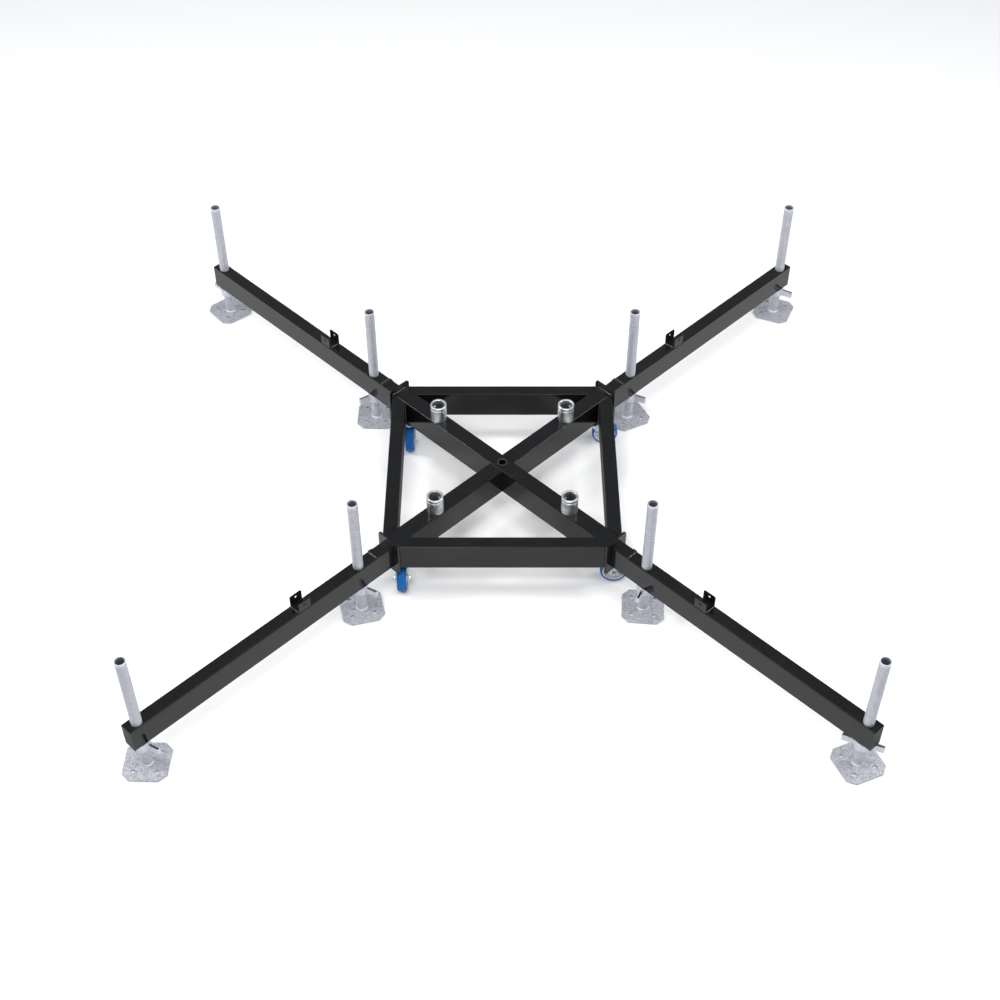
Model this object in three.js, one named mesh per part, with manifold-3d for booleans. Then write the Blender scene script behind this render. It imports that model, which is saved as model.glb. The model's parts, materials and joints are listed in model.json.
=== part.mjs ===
// Base of a truss tower: a square steel frame on castors, crossed by two box sections that
// carry four conical truss couplers. Each box section holds a pull-out outrigger arm at each
// end, and each arm stands on two screw jacks.
// Millimetres, +Z up, origin on the floor under the middle of the frame.
import * as THREE from 'three';
import { mergeVertices } from 'three/addons/utils/BufferGeometryUtils.js';
import Module from 'manifold-3d';

const wasm = await Module();
wasm.setup();

// Sizes of the fixed frame.
const FRAME_SIDE = 845; // outside to outside of the square
const SECTION_HEIGHT = 108; // height of rails and cross bars
const RAIL_WIDTH = 50;
const RAIL_WALL = 4;
const BAR_WALL = 5; // cross bars, which are also the arms' sockets
const CORNER_CUT = 37.5; // how far each corner is cut back along its diagonal

// Corner flange plates, which the arms pass through.
const FLANGE_MARGIN = 19; // beyond the bar's sides
const FLANGE_RISE = 21; // beyond the bar's top and bottom
const FLANGE_THICKNESS = 8;
const FLANGE_CORNER_RADIUS = 9;

// Truss couplers and the bush in the middle.
const COUPLER_SPACING = 480; // between couplers along one side of the truss
const COUPLER_DIAMETER = 61;
const COUPLER_HEIGHT = 72;
const COUPLER_RIM = 8; // wall round the mouth of the conical bore
const COUPLER_TAPER = 9; // how much narrower the bore is at its lower end
const COUPLER_FLOOR = 14; // solid metal under the bore
const COUPLER_PIN = 13; // cross hole for the coupling pin
const COUPLER_PIN_DROP = 26; // from the rim down to the pin
const BUSH_DIAMETER = 42;
const BUSH_WALL = 8;
const BUSH_RISE = 5; // above the frame top
const BUSH_LENGTH = 20;

// Outrigger arms.
const ARM_WALL = 4;
const ARM_ROOM = 2; // between the arm's side walls and the jacks' spindles
const ARM_SLACK = 1; // free play between the arm and its socket, all round
const ARM_REACH = 1690; // from the centre of the frame to the arm's tip
const ARM_INSERTION = 330; // length held in the socket
const ARM_CAP = 5; // thickness of the end cap
const STOP_WIDTH = 15; // strip across the arm that limits how far it goes in
const STOP_HEIGHT = 4;
const STOP_SETBACK = 58; // from the flange to the strip

// Brace bracket on each arm.
const BRACKET_SETBACK = 400; // from the flange to the middle of the bracket
const BRACKET_LENGTH = 50;
const BRACKET_THICKNESS = 4;
const EAR_HEIGHT = 44;
const EAR_HOLE = 11;
const EAR_HOLE_HEIGHT = 29;

// Screw jacks.
const INNER_JACK_SETBACK = 141; // from the flange to the inner jack
const OUTER_JACK_INSET = 42; // from the arm's tip to the outer jack
const SPINDLE_DIAMETER = 38;
const SPINDLE_WALL = 4;
const SPINDLE_LENGTH = 528; // above the base plate
const SPINDLE_PLAY = 2.5; // radial, in the holes through the arm
const PLATE_SIDE = 150;
const PLATE_THICKNESS = 6;
const PLATE_CROP = 25; // leg of the cut across each corner
const PLATE_HOLE = 14;
const PLATE_HOLE_INSET = 35; // from the plate's sides
const PLATE_LIFT = 2; // plates are wound just clear of the floor
const NUT_WALL = 9.5;
const NUT_HEIGHT = 36;
const NUT_PLAY = 0.5; // radial, on the spindle
const HANDLE_LENGTH = 42; // beyond the nut, each side
const HANDLE_THICKNESS = 13;
const HANDLE_HEIGHT = 25;

// Castors.
const CASTOR_INSET = 62.5; // from the outside of the frame to the swivel axis, both ways
const CASTOR_TRAIL = 42;
const CASTOR_HEADROOM = 5.4; // between the wheel and the fork's crown
const WHEEL_DIAMETER = 100;
const WHEEL_WIDTH = 34;
const TYRE_THICKNESS = 7;
const HUB_INSET = 2; // rim inside the tyre's sides
const HUB_BOSS = 28;
const HUB_BOSS_RISE = 1.5; // boss outside the tyre's sides
const HUB_WEB = 8;
const AXLE_DIAMETER = 10;
const AXLE_PLAY = 0.4;
const AXLE_HEAD_RIM = 3.5; // of the head beyond the shank, all round
const AXLE_HEAD_LENGTH = 7;
const FORK_WALL = 3;
const FORK_GAP = 3; // wheel to fork leg, each side
const FORK_LEG_TOP = 50;
const FORK_LEG_FOOT = 24;
const FORK_HEAD_DIAMETER = 62;
const FORK_HEAD_HEIGHT = 11;
const CASTOR_PLATE_SIDE = 76;
const CASTOR_PLATE_THICKNESS = 4;
const CASTOR_PLATE_HOLE = 9;
const CASTOR_PLATE_HOLE_INSET = 10;

const GAP = 0.3; // between pieces that rest on each other
const ROUND_SIDES = 24; // tyres and couplers
const FINE_SIDES = 16; // spindles, nuts, hubs and the holes they pass
const HOLE_SIDES = 8; // bolt holes

// Heights and distances that follow from the sizes above.
const wheelRadius = WHEEL_DIAMETER / 2;
const crownTop = WHEEL_DIAMETER + CASTOR_HEADROOM + FORK_WALL;
const forkTop = crownTop + FORK_HEAD_HEIGHT;
const frameBottom = forkTop + CASTOR_PLATE_THICKNESS + 2 * GAP;
const frameTop = frameBottom + SECTION_HEIGHT;
const armWidth = SPINDLE_DIAMETER + 2 * (ARM_ROOM + ARM_WALL);
const armHeight = SECTION_HEIGHT - 2 * (BAR_WALL + ARM_SLACK);
const armTop = frameTop - BAR_WALL - ARM_SLACK;
const armBottom = armTop - armHeight;
const socketWidth = armWidth + 2 * ARM_SLACK;
const barWidth = socketWidth + 2 * BAR_WALL;
const flangeInner = FRAME_SIDE / Math.SQRT2 - CORNER_CUT;
const flangeOuter = flangeInner + FLANGE_THICKNESS;
const innerJackReach = flangeOuter + INNER_JACK_SETBACK;
const outerJackReach = ARM_REACH - OUTER_JACK_INSET;
const bracketReach = flangeOuter + BRACKET_SETBACK;
const armInnerEnd = flangeInner - ARM_INSERTION;
const couplerReach = COUPLER_SPACING / Math.SQRT2;
const castorCentre = FRAME_SIDE / 2 - CASTOR_INSET;

const corners = [
  { name: 'front_left', angle: 225, trail: -90, plates: [14, -2], handles: [-28, -29] },
  { name: 'front_right', angle: 315, trail: 0, plates: [-5, 23], handles: [65, -23] },
  { name: 'back_right', angle: 45, trail: 0, plates: [26, -24], handles: [-26, -30] },
  { name: 'back_left', angle: 135, trail: -90, plates: [-1, 40], handles: [32, -38] },
];

const metal = (color, roughness, metalness) =>
  new THREE.MeshStandardMaterial({ color, roughness, metalness });
const blackPaint = metal(0x0c0d10, 0.25, 0.1);
const galvanised = metal(0xb9bcc4, 0.5, 0.8);
const machined = metal(0xc9cccf, 0.3, 0.9);
const zincPlate = metal(0xc4c8cb, 0.35, 0.9);
const greyPlastic = metal(0xc9ccd0, 0.55, 0);
const blueRubber = metal(0x2f7fc4, 0.65, 0);

// Solids and their joins and cuts.

function toSolid(geometry) {
  const plain = geometry.clone();
  plain.deleteAttribute('normal');
  plain.deleteAttribute('uv');
  const merged = mergeVertices(plain, 1e-4);
  return new wasm.Manifold(
    new wasm.Mesh({
      numProp: 3,
      vertProperties: new Float32Array(merged.attributes.position.array),
      triVerts: new Uint32Array(merged.index.array),
    }),
  );
}

function toGeometry(solid) {
  const mesh = solid.getMesh();
  const geometry = new THREE.BufferGeometry();
  geometry.setAttribute('position', new THREE.BufferAttribute(mesh.vertProperties, 3));
  geometry.setIndex(new THREE.BufferAttribute(mesh.triVerts, 1));
  geometry.computeVertexNormals();
  return geometry;
}

const joined = (first, ...others) => others.reduce((whole, piece) => whole.add(piece), first);
const cut = (first, ...tools) => tools.reduce((whole, tool) => whole.subtract(tool), first);

// A box by its lowest and highest corners.
function block(low, high) {
  const size = high.map((value, axis) => value - low[axis]);
  const geometry = new THREE.BoxGeometry(...size);
  geometry.translate(...high.map((value, axis) => (value + low[axis]) / 2));
  return toSolid(geometry);
}

// A solid of revolution about Z, from points [radius, height] in anticlockwise order.
function revolved(points, sides = ROUND_SIDES) {
  const profile = points.map(([radius, height]) => new THREE.Vector2(radius, height));
  const geometry = new THREE.LatheGeometry([...profile, profile[0]], sides);
  geometry.rotateX(Math.PI / 2);
  return toSolid(geometry);
}

function ring(outer, inner, low, high, sides = ROUND_SIDES) {
  const profile = [
    [inner, low],
    [outer, low],
    [outer, high],
    [inner, high],
  ];
  return revolved(profile, sides);
}

function rod(diameter, low, high, sides = FINE_SIDES) {
  const geometry = new THREE.CylinderGeometry(diameter / 2, diameter / 2, high - low, sides);
  geometry.rotateX(Math.PI / 2);
  geometry.translate(0, 0, (low + high) / 2);
  return toSolid(geometry);
}

// A flat outline in XY, raised along Z from low to high.
function raised(shape, low, high, curveSegments = 3) {
  const settings = { depth: high - low, bevelEnabled: false, curveSegments };
  const geometry = new THREE.ExtrudeGeometry(shape, settings);
  geometry.translate(0, 0, low);
  return toSolid(geometry);
}

// A rectangular tube along X.
function boxTube(start, end, width, bottom, top, wall) {
  const outside = block([start, -width / 2, bottom], [end, width / 2, top]);
  const inside = block(
    [start - 1, wall - width / 2, bottom + wall],
    [end + 1, width / 2 - wall, top - wall],
  );
  return cut(outside, inside);
}

const model = new THREE.Group();

function add(parent, name, solid, material) {
  const mesh = new THREE.Mesh(toGeometry(solid), material);
  mesh.name = name;
  parent.add(mesh);
  return mesh;
}

// A group whose +X points out along one corner's diagonal.
function alongCorner(corner) {
  const group = new THREE.Group();
  group.rotation.z = THREE.MathUtils.degToRad(corner.angle);
  model.add(group);
  return group;
}

// Frame rails: four equal box tubes, their ends cut to the cross bars and the flange plates.

function railSolid() {
  const half = FRAME_SIDE / 2;
  const tube = boxTube(-half, half, RAIL_WIDTH, frameBottom, frameTop, RAIL_WALL);
  const placed = tube.translate([0, -half + RAIL_WIDTH / 2, 0]);
  const barSide = barWidth / 2 + GAP;
  const beyondBar = block([-FRAME_SIDE, -barSide, 0], [FRAME_SIDE, FRAME_SIDE, frameTop + 1]);
  const beyondFlange = block(
    [flangeInner - GAP, -FRAME_SIDE, 0],
    [FRAME_SIDE, FRAME_SIDE, frameTop + 1],
  );
  const leftTools = beyondBar.mirror([0, 1, 0]).add(beyondFlange).rotate([0, 0, 225]);
  const rightTools = beyondBar.add(beyondFlange).rotate([0, 0, 315]);
  return cut(placed, leftTools, rightTools);
}

const railNames = ['rail_front', 'rail_right', 'rail_back', 'rail_left'];
railNames.forEach((name, turn) => {
  const rail = add(model, name, railSolid(), blackPaint);
  rail.rotation.z = (turn * Math.PI) / 2;
});

// Cross bars: one whole bar with the bush through its top, and two half bars butted to it.

function mainBarSolid() {
  const end = flangeInner - GAP;
  const tube = boxTube(-end, end, barWidth, frameBottom, frameTop, BAR_WALL);
  const bushHole = rod(BUSH_DIAMETER + 2 * GAP, frameTop - BAR_WALL - 1, frameTop + 1);
  return cut(tube, bushHole);
}

function halfBarSolid() {
  const start = barWidth / 2 + GAP;
  return boxTube(start, flangeInner - GAP, barWidth, frameBottom, frameTop, BAR_WALL);
}

const [frontLeft, frontRight] = corners;
add(alongCorner(frontRight), 'cross_bar', mainBarSolid(), blackPaint);
add(alongCorner(frontLeft), 'half_bar_front', halfBarSolid(), blackPaint);
const backHalf = new THREE.Group();
backHalf.rotation.z = THREE.MathUtils.degToRad(frontLeft.angle - 180);
model.add(backHalf);
add(backHalf, 'half_bar_back', halfBarSolid(), blackPaint);

const bushTop = frameTop + BUSH_RISE;
const bushRadius = BUSH_DIAMETER / 2;
const bushBore = bushRadius - BUSH_WALL;
const bush = ring(bushRadius, bushBore, bushTop - BUSH_LENGTH, bushTop, FINE_SIDES);
add(model, 'centre_bush', bush, blackPaint);

// Corner flange plates, with the window that the arm slides through.

function roundedRectangle(width, height, radius) {
  const x = width / 2;
  const y = height / 2;
  const shape = new THREE.Shape();
  shape.moveTo(radius - x, -y);
  shape.lineTo(x - radius, -y);
  shape.absarc(x - radius, radius - y, radius, -Math.PI / 2, 0, false);
  shape.absarc(x - radius, y - radius, radius, 0, Math.PI / 2, false);
  shape.absarc(radius - x, y - radius, radius, Math.PI / 2, Math.PI, false);
  shape.absarc(radius - x, radius - y, radius, Math.PI, 1.5 * Math.PI, false);
  return shape;
}

function flangeSolid() {
  const outline = roundedRectangle(
    barWidth + 2 * FLANGE_MARGIN,
    SECTION_HEIGHT + 2 * FLANGE_RISE,
    FLANGE_CORNER_RADIUS,
  );
  const windowHeight = armHeight + 2 * ARM_SLACK;
  const plate = raised(outline, 0, FLANGE_THICKNESS);
  const window = block(
    [-socketWidth / 2, -windowHeight / 2, -1],
    [socketWidth / 2, windowHeight / 2, FLANGE_THICKNESS + 1],
  );
  const upright = cut(plate, window).rotate([90, 0, 0]).rotate([0, 0, 90]);
  return upright.translate([flangeInner, 0, frameBottom + SECTION_HEIGHT / 2]);
}

// Truss couplers: turned receivers with a conical bore and a hole for the coupling pin.

function couplerSolid() {
  const radius = COUPLER_DIAMETER / 2;
  const mouth = radius - COUPLER_RIM;
  const boreEnd = mouth - COUPLER_TAPER / 2;
  const chamfer = 2;
  const grooveDepth = 1;
  const grooveTop = COUPLER_HEIGHT - 12;
  const grooveFoot = grooveTop - 3;
  const body = revolved([
    [0, 0],
    [radius, 0],
    [radius, grooveFoot],
    [radius - grooveDepth, (grooveFoot + grooveTop) / 2],
    [radius, grooveTop],
    [radius, COUPLER_HEIGHT - chamfer],
    [radius - chamfer, COUPLER_HEIGHT],
    [mouth + chamfer, COUPLER_HEIGHT],
    [mouth, COUPLER_HEIGHT - chamfer],
    [boreEnd, COUPLER_FLOOR],
    [0, COUPLER_FLOOR],
  ]);
  const pinHole = rod(COUPLER_PIN, -COUPLER_DIAMETER, COUPLER_DIAMETER).rotate([0, 90, 0]);
  return cut(body, pinHole.translate([0, 0, COUPLER_HEIGHT - COUPLER_PIN_DROP]));
}

// Outrigger arms: capped box tubes with the jacks' holes and a stop strip.

function armSolid() {
  const tube = boxTube(armInnerEnd, ARM_REACH - ARM_CAP, armWidth, armBottom, armTop, ARM_WALL);
  const cap = block(
    [ARM_REACH - ARM_CAP, -armWidth / 2, armBottom],
    [ARM_REACH, armWidth / 2, armTop],
  );
  const stopStart = flangeOuter + STOP_SETBACK;
  const stop = block(
    [stopStart, -armWidth / 2, armTop],
    [stopStart + STOP_WIDTH, armWidth / 2, armTop + STOP_HEIGHT],
  );
  const holes = [innerJackReach, outerJackReach].map((reach) =>
    rod(SPINDLE_DIAMETER + 2 * SPINDLE_PLAY, armBottom - 1, armTop + 1).translate([reach, 0, 0]),
  );
  return cut(joined(tube, cap, stop), ...holes);
}

// Brace bracket: a base strap with two upright ears in line with the arm's sides.

function bracketSolid() {
  const half = BRACKET_LENGTH / 2;
  const side = armWidth / 2;
  const base = block([-half, -side, 0], [half, side, BRACKET_THICKNESS]);
  const ears = [-1, 1].map((hand) => {
    const faces = [hand * side, hand * (side - BRACKET_THICKNESS)].sort((a, b) => a - b);
    return block([-half, faces[0], 0], [half, faces[1], EAR_HEIGHT]);
  });
  const hole = rod(EAR_HOLE, -armWidth, armWidth, HOLE_SIDES).rotate([90, 0, 0]);
  return cut(joined(base, ...ears), hole.translate([0, 0, EAR_HOLE_HEIGHT]));
}

// Jacks: a hollow spindle welded to a base plate, and a handled nut under the arm.

function plateOutline() {
  const half = PLATE_SIDE / 2;
  const near = half - PLATE_CROP;
  const shape = new THREE.Shape();
  shape.moveTo(-near, -half);
  shape.lineTo(near, -half);
  shape.lineTo(half, -near);
  shape.lineTo(half, near);
  shape.lineTo(near, half);
  shape.lineTo(-near, half);
  shape.lineTo(-half, near);
  shape.lineTo(-half, -near);
  return shape;
}

const squareCorners = [
  [-1, -1],
  [1, -1],
  [1, 1],
  [-1, 1],
];

function spindleSolid(turn) {
  const plateTop = PLATE_LIFT + PLATE_THICKNESS;
  const plate = raised(plateOutline(), PLATE_LIFT, plateTop);
  const holes = squareCorners.map(([x, y]) =>
    rod(PLATE_HOLE, 0, plateTop + 1, HOLE_SIDES).translate([
      x * (PLATE_SIDE / 2 - PLATE_HOLE_INSET),
      y * (PLATE_SIDE / 2 - PLATE_HOLE_INSET),
      0,
    ]),
  );
  const outer = SPINDLE_DIAMETER / 2;
  const tube = ring(
    outer,
    outer - SPINDLE_WALL,
    plateTop,
    plateTop + SPINDLE_LENGTH,
    FINE_SIDES,
  );
  return joined(cut(plate, ...holes), tube).rotate([0, 0, turn]);
}

function nutSolid(turn) {
  const top = armBottom - GAP;
  const bottom = top - NUT_HEIGHT;
  const bore = SPINDLE_DIAMETER / 2 + NUT_PLAY;
  const outer = bore + NUT_WALL;
  const span = outer + HANDLE_LENGTH;
  const hub = rod(2 * outer, bottom, top);
  const handleLow = bottom + (NUT_HEIGHT - HANDLE_HEIGHT) / 2;
  const handles = block(
    [-span, -HANDLE_THICKNESS / 2, handleLow],
    [span, HANDLE_THICKNESS / 2, handleLow + HANDLE_HEIGHT],
  );
  const hole = rod(2 * bore, bottom - 1, top + 1);
  return cut(joined(hub, handles), hole).rotate([0, 0, turn]);
}

// Castors: a bolted top plate, and below it a swivelling fork with axle, hub and tyre.

function castorPlateSolid() {
  const top = frameBottom - GAP;
  const outline = roundedRectangle(CASTOR_PLATE_SIDE, CASTOR_PLATE_SIDE, 8);
  const plate = raised(outline, top - CASTOR_PLATE_THICKNESS, top, 2);
  const holes = squareCorners.map(([x, y]) =>
    rod(CASTOR_PLATE_HOLE, frameBottom - 20, frameBottom, HOLE_SIDES).translate([
      x * (CASTOR_PLATE_SIDE / 2 - CASTOR_PLATE_HOLE_INSET),
      y * (CASTOR_PLATE_SIDE / 2 - CASTOR_PLATE_HOLE_INSET),
      0,
    ]),
  );
  return cut(plate, ...holes);
}

const legSide = WHEEL_WIDTH / 2 + FORK_GAP;

// One leg's outline in XZ, from the crown down to a round foot about the axle.
function legOutline() {
  const shape = new THREE.Shape();
  const foot = FORK_LEG_FOOT / 2;
  shape.moveTo(-FORK_LEG_TOP / 2, crownTop);
  shape.lineTo(CASTOR_TRAIL - foot, wheelRadius);
  shape.absarc(CASTOR_TRAIL, wheelRadius, foot, Math.PI, 2 * Math.PI, false);
  shape.lineTo(FORK_LEG_TOP / 2 + foot, crownTop);
  return shape;
}

function forkSolid() {
  const head = rod(FORK_HEAD_DIAMETER, crownTop - FORK_WALL, forkTop);
  const crown = block(
    [-FORK_LEG_TOP / 2, -legSide, crownTop - FORK_WALL],
    [FORK_LEG_TOP / 2 + FORK_LEG_FOOT / 2, legSide, crownTop],
  );
  const leg = raised(legOutline(), 0, FORK_WALL).rotate([90, 0, 0]);
  const legs = [legSide + FORK_WALL, -legSide].map((y) => leg.translate([0, y, 0]));
  const axleHole = rod(AXLE_DIAMETER + 2 * AXLE_PLAY, -WHEEL_WIDTH, WHEEL_WIDTH);
  const across = axleHole.rotate([90, 0, 0]).translate([CASTOR_TRAIL, 0, wheelRadius]);
  return cut(joined(head, crown, ...legs), across);
}

function onAxle(solid) {
  return solid.rotate([90, 0, 0]).translate([CASTOR_TRAIL, 0, wheelRadius]);
}

function axleSolid() {
  const end = legSide + FORK_WALL + GAP;
  const pin = rod(AXLE_DIAMETER, -end, end);
  const ends = [-end - AXLE_HEAD_LENGTH, end].map((low) =>
    rod(AXLE_DIAMETER + 2 * AXLE_HEAD_RIM, low, low + AXLE_HEAD_LENGTH, 6),
  );
  return onAxle(joined(pin, ...ends));
}

function hubSolid() {
  const bore = AXLE_DIAMETER / 2 + AXLE_PLAY;
  const rim = wheelRadius - TYRE_THICKNESS - GAP;
  const rimInner = rim - 5;
  const rimEnd = WHEEL_WIDTH / 2 - HUB_INSET;
  const bossEnd = WHEEL_WIDTH / 2 + HUB_BOSS_RISE;
  const profile = [
    [bore, -bossEnd],
    [HUB_BOSS / 2, -bossEnd],
    [HUB_BOSS / 2, -HUB_WEB / 2],
    [rimInner, -HUB_WEB / 2],
    [rimInner, -rimEnd],
    [rim, -rimEnd],
    [rim, rimEnd],
    [rimInner, rimEnd],
    [rimInner, HUB_WEB / 2],
    [HUB_BOSS / 2, HUB_WEB / 2],
    [HUB_BOSS / 2, bossEnd],
    [bore, bossEnd],
  ];
  return onAxle(revolved(profile, FINE_SIDES));
}

// The tread's flats touch the circle of the wheel's diameter, and one of them is underneath.
function tyreSolid() {
  const flats = 1 / Math.cos(Math.PI / ROUND_SIDES);
  const tread = wheelRadius * flats;
  const inner = (wheelRadius - TYRE_THICKNESS) * flats;
  const shoulder = 4;
  const profile = [
    [inner, -WHEEL_WIDTH / 2],
    [tread - shoulder, -WHEEL_WIDTH / 2],
    [tread, shoulder - WHEEL_WIDTH / 2],
    [tread, WHEEL_WIDTH / 2 - shoulder],
    [tread - shoulder, WHEEL_WIDTH / 2],
    [inner, WHEEL_WIDTH / 2],
  ];
  return onAxle(revolved(profile).rotate([0, 0, 180 / ROUND_SIDES]));
}

const swivelReach = castorCentre * Math.SQRT2;

for (const corner of corners) {
  const outward = alongCorner(corner);
  const facing = new THREE.Group();
  facing.rotation.z = -outward.rotation.z;

  add(outward, `flange_${corner.name}`, flangeSolid(), blackPaint);

  const coupler = couplerSolid().translate([couplerReach, 0, frameTop + GAP]);
  add(outward, `coupler_${corner.name}`, coupler, machined);

  add(outward, `arm_${corner.name}`, armSolid(), blackPaint);
  const bracket = bracketSolid().translate([bracketReach, 0, armTop + GAP]);
  add(outward, `brace_bracket_${corner.name}`, bracket, blackPaint);

  const jacks = [
    { place: 'inner', reach: innerJackReach },
    { place: 'outer', reach: outerJackReach },
  ];
  jacks.forEach(({ place, reach }, index) => {
    const spindle = spindleSolid(corner.plates[index] - corner.angle);
    const nut = nutSolid(corner.handles[index] - corner.angle);
    add(outward, `jack_${place}_${corner.name}`, spindle.translate([reach, 0, 0]), galvanised);
    add(outward, `jack_nut_${place}_${corner.name}`, nut.translate([reach, 0, 0]), galvanised);
  });

  const plate = castorPlateSolid().translate([swivelReach, 0, 0]);
  add(outward, `castor_plate_${corner.name}`, plate, zincPlate);

  facing.rotation.z += THREE.MathUtils.degToRad(corner.trail);
  facing.position.set(swivelReach, 0, 0);
  outward.add(facing);
  add(facing, `castor_fork_${corner.name}`, forkSolid(), zincPlate);
  add(facing, `castor_axle_${corner.name}`, axleSolid(), zincPlate);
  add(facing, `wheel_hub_${corner.name}`, hubSolid(), greyPlastic);
  add(facing, `tyre_${corner.name}`, tyreSolid(), blueRubber);
}

export default model;
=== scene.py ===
import json
import math

import bpy
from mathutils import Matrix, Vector


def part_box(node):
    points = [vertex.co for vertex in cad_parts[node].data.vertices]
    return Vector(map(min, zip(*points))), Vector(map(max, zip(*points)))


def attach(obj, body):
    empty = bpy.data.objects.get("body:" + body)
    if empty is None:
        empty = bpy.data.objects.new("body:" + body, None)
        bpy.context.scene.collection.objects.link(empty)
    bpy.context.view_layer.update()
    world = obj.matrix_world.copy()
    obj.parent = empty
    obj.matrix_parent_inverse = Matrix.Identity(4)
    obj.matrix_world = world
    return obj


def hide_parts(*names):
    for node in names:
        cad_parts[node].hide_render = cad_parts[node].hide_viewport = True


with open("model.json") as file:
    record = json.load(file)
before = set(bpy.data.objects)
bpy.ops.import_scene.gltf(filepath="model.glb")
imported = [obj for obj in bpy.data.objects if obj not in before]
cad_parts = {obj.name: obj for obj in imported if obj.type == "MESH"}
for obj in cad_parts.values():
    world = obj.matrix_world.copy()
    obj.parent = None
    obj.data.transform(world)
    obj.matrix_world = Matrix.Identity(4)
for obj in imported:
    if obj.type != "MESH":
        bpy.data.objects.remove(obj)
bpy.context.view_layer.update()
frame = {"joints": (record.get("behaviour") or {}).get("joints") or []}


# ---------------------------------------------------------------------------
# Camera and studio. The base is looked down on from the front, square to one
# side, from about four metres out and four metres up. It stands on a wide pale
# floor, and large soft panels light it from above, in front and both sides.

CAMERA_PLACE = (-0.0085, -4.167, 4.352)
CAMERA_PITCH = 46.02  # degrees below level
FOCAL_LENGTH = 57.2
WORLD_COLOUR = (0.955, 0.972, 1.0)
WORLD_STRENGTH = 0.42
FLOOR_SIZE = 40
FLOOR_DROP = 0.001

camera_data = bpy.data.cameras.new("camera")
camera_data.lens = FOCAL_LENGTH
camera_data.clip_end = 60
camera = bpy.data.objects.new("camera", camera_data)
camera.location = CAMERA_PLACE
camera.rotation_euler = (math.radians(90 - CAMERA_PITCH), 0, 0)
bpy.context.collection.objects.link(camera)
bpy.context.scene.camera = camera
bpy.context.scene.view_settings.view_transform = "Standard"


def soft_panel(name, place, aim, size, power):
    """A square light panel at place, turned to face aim."""
    data = bpy.data.lights.new(name, "AREA")
    data.size = size
    data.energy = power
    panel = bpy.data.objects.new(name, data)
    panel.location = place
    panel.rotation_euler = (Vector(aim) - Vector(place)).to_track_quat("-Z", "Y").to_euler()
    bpy.context.collection.objects.link(panel)


soft_panel("overhead_panel", (0.2, -1.2, 6.5), (0, 0, 0), 6.5, 380)
soft_panel("key_panel", (-0.9, -2.8, 5.2), (0, 0, 0.2), 1.0, 50)
soft_panel("left_panel", (-5.4, 0.2, 4.6), (0, 0, 0.2), 1.1, 150)
soft_panel("right_panel", (5.4, 0.2, 4.6), (0, 0, 0.2), 1.1, 110)

world = bpy.data.worlds.new("studio")
world.use_nodes = True
world_shader = world.node_tree.nodes["Background"]
world_shader.inputs["Color"].default_value = (*WORLD_COLOUR, 1)
world_shader.inputs["Strength"].default_value = WORLD_STRENGTH
bpy.context.scene.world = world


def add_node(tree, kind, inputs, **settings):
    """A shader node; each input gets a fixed value or a wire from another node."""
    made = tree.nodes.new("ShaderNode" + kind)
    for name, value in settings.items():
        setattr(made, name, value)
    for name, value in inputs.items():
        if isinstance(value, bpy.types.NodeSocket):
            tree.links.new(value, made.inputs[name])
        else:
            made.inputs[name].default_value = value
    return made


def new_material(name, **values):
    """A material, its node tree, its principled shader and its object coordinates."""
    material = bpy.data.materials.new(name)
    material.use_nodes = True
    tree = material.node_tree
    shader = tree.nodes["Principled BSDF"]
    for socket, value in values.items():
        shader.inputs[socket.replace("_", " ")].default_value = value
    place = add_node(tree, "TexCoord", {}).outputs["Object"]
    return material, tree, shader, place


def noise(tree, place, scale, detail, roughness=0.5):
    """A cloudy pattern; a larger scale makes it finer."""
    return add_node(tree, "TexNoise", {
        "Vector": place, "Scale": scale, "Detail": detail, "Roughness": roughness,
    }).outputs["Fac"]


def ramp(tree, source, *ends):
    """Turns a pattern into colours between two (position, colour) ends."""
    made = add_node(tree, "ValToRGB", {"Fac": source})
    for element, (position, colour) in zip(made.color_ramp.elements, ends):
        element.position = position
        element.color = (*colour, 1)
    return made.outputs["Color"]


def grey(value):
    return (value, value, value)


def floor_material():
    material, tree, shader, place = new_material(
        "studio_floor", Specular_IOR_Level=0.1, Roughness=0.8
    )
    tone = ramp(tree, noise(tree, place, 90, 4), (0.3, grey(0.9)), (0.7, grey(0.93)))
    tree.links.new(tone, shader.inputs["Base Color"])
    return material


bpy.ops.mesh.primitive_plane_add(size=FLOOR_SIZE, location=(0, 0, -FLOOR_DROP))
floor = bpy.context.object
floor.name = "studio_floor"
floor.data.materials.append(floor_material())


# ---------------------------------------------------------------------------
# Frame rails. Four lengths of cold-formed rectangular tube, mitred where they
# meet the cross bars, welded up and powder coated gloss black. The coat pools
# a little and shows the fine waves of the oven-cured film.

CORNERS = {"front_left": 225, "front_right": 315, "back_right": 45, "back_left": 135}
SECTION_RADIUS = 0.003
BAR_WIDTH = 0.062
FLANGE_THICKNESS = 0.008
SEAM = 0.0003
SHARP_ANGLE = 50  # degrees; edges sharper than this are shaded sharp
COAT_BLACK = (0.0032, 0.0035, 0.004)
COAT_DUST = (0.0085, 0.009, 0.01)


def box_of(node):
    """The lowest and the highest corner of a CAD node."""
    low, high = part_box(node)
    return Vector(low), Vector(high)


def middle_of(node):
    """The middle of a CAD node, carried down to the floor."""
    low, high = box_of(node)
    return (low + high) / 2 * Vector((1, 1, 0))


rail_low, rail_high = box_of("rail_front")
frame_top = rail_high.z
frame_bottom = rail_low.z
frame_half = -rail_low.y
rail_width = rail_high.y - rail_low.y
flange_inner = middle_of("flange_back_right").length - FLANGE_THICKNESS / 2


def mix(tree, amount, under, over):
    """Lays one colour or pattern over another."""
    return add_node(tree, "MixRGB", {0: amount, 1: under, 2: over}).outputs["Color"]


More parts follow.
